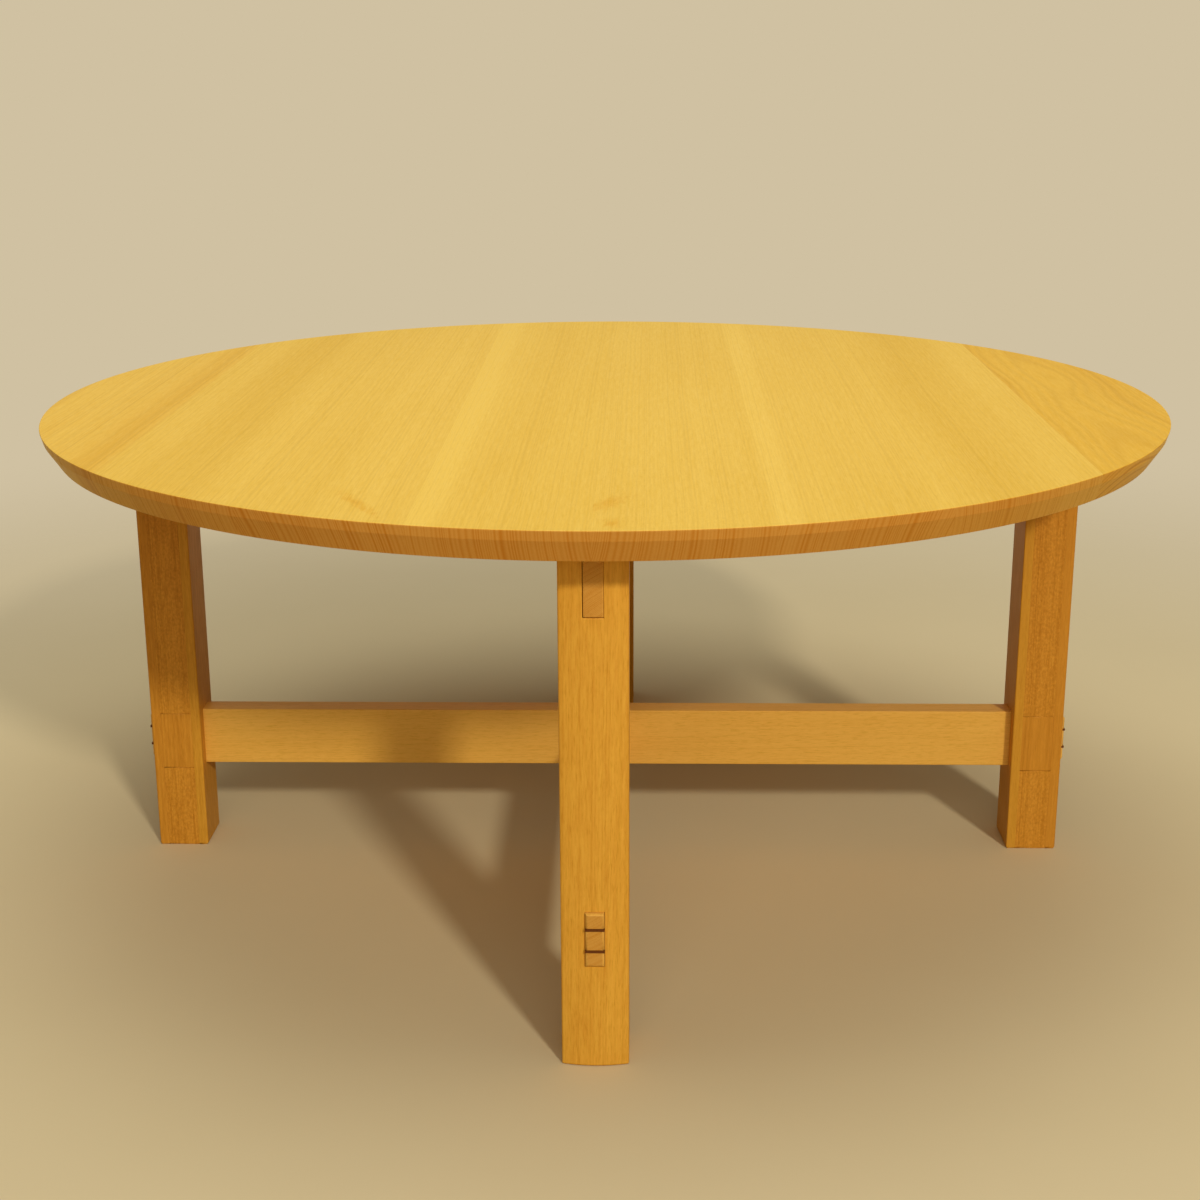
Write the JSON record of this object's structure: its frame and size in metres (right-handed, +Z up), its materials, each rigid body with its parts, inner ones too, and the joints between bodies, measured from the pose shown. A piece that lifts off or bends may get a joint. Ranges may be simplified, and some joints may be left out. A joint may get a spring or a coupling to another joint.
{
  "type": "low round table",
  "caption": "Low round wooden table: a disc of edge-glued boards with a bevelled rim on laminated legs, tied by crossed rails and crossed stretchers with wedged tenons.",
  "frame": {"origin": "on the floor under the centre of the top", "axes": "+Z up; the legs stand on X and Y, and the boards of the top run along Y"},
  "size_m": [0.8594, 0.8594, 0.375],
  "materials": {
    "top_wood": "satin oil",
    "leg_face_wood": "satin oil",
    "leg_core_wood": "satin oil, flecked quartered face",
    "leg_cheek_wood": "satin oil",
    "rail_wood": "satin oil",
    "button_wood": "bare sanded",
    "wedge_wood": "satin oil, dark wood",
    "screw_steel": "zinc plated"
  },
  "bodies": {
    "root": {"back_button_inner": "button_wood", "back_button_outer": "button_wood", "back_leg_cheek_a": "leg_cheek_wood", "back_leg_cheek_b": "leg_cheek_wood", "back_leg_core_lower": "leg_core_wood", "back_leg_core_upper": "leg_core_wood", "back_leg_inner_ply": "leg_face_wood", "back_leg_outer_ply": "leg_face_wood", "back_leg_wedge_lower": "wedge_wood", "back_leg_wedge_upper": "wedge_wood", "button_screws": "screw_steel", "front_button_inner": "button_wood", "front_button_outer": "button_wood", "front_leg_cheek_a": "leg_cheek_wood", "front_leg_cheek_b": "leg_cheek_wood", "front_leg_core_lower": "leg_core_wood", "front_leg_core_upper": "leg_core_wood", "front_leg_inner_ply": "leg_face_wood", "front_leg_outer_ply": "leg_face_wood", "front_leg_wedge_lower": "wedge_wood", "front_leg_wedge_upper": "wedge_wood", "left_button_inner": "button_wood", "left_button_outer": "button_wood", "left_leg_cheek_a": "leg_cheek_wood", "left_leg_cheek_b": "leg_cheek_wood", "left_leg_core_lower": "leg_core_wood", "left_leg_core_upper": "leg_core_wood", "left_leg_inner_ply": "leg_face_wood", "left_leg_outer_ply": "leg_face_wood", "left_leg_wedge_lower": "wedge_wood", "left_leg_wedge_upper": "wedge_wood", "rail_front_to_back": "rail_wood", "rail_side_to_side": "rail_wood", "right_button_inner": "button_wood", "right_button_outer": "button_wood", "right_leg_cheek_a": "leg_cheek_wood", "right_leg_cheek_b": "leg_cheek_wood", "right_leg_core_lower": "leg_core_wood", "right_leg_core_upper": "leg_core_wood", "right_leg_inner_ply": "leg_face_wood", "right_leg_outer_ply": "leg_face_wood", "right_leg_wedge_lower": "wedge_wood", "right_leg_wedge_upper": "wedge_wood", "stretcher_front_to_back": "rail_wood", "stretcher_side_to_side": "rail_wood", "top_board_1": "top_wood", "top_board_2": "top_wood", "top_board_3": "top_wood", "top_board_4": "top_wood", "top_board_5": "top_wood", "top_board_6": "top_wood", "top_board_7": "top_wood", "top_board_8": "top_wood"}
  },
  "joints": []
}
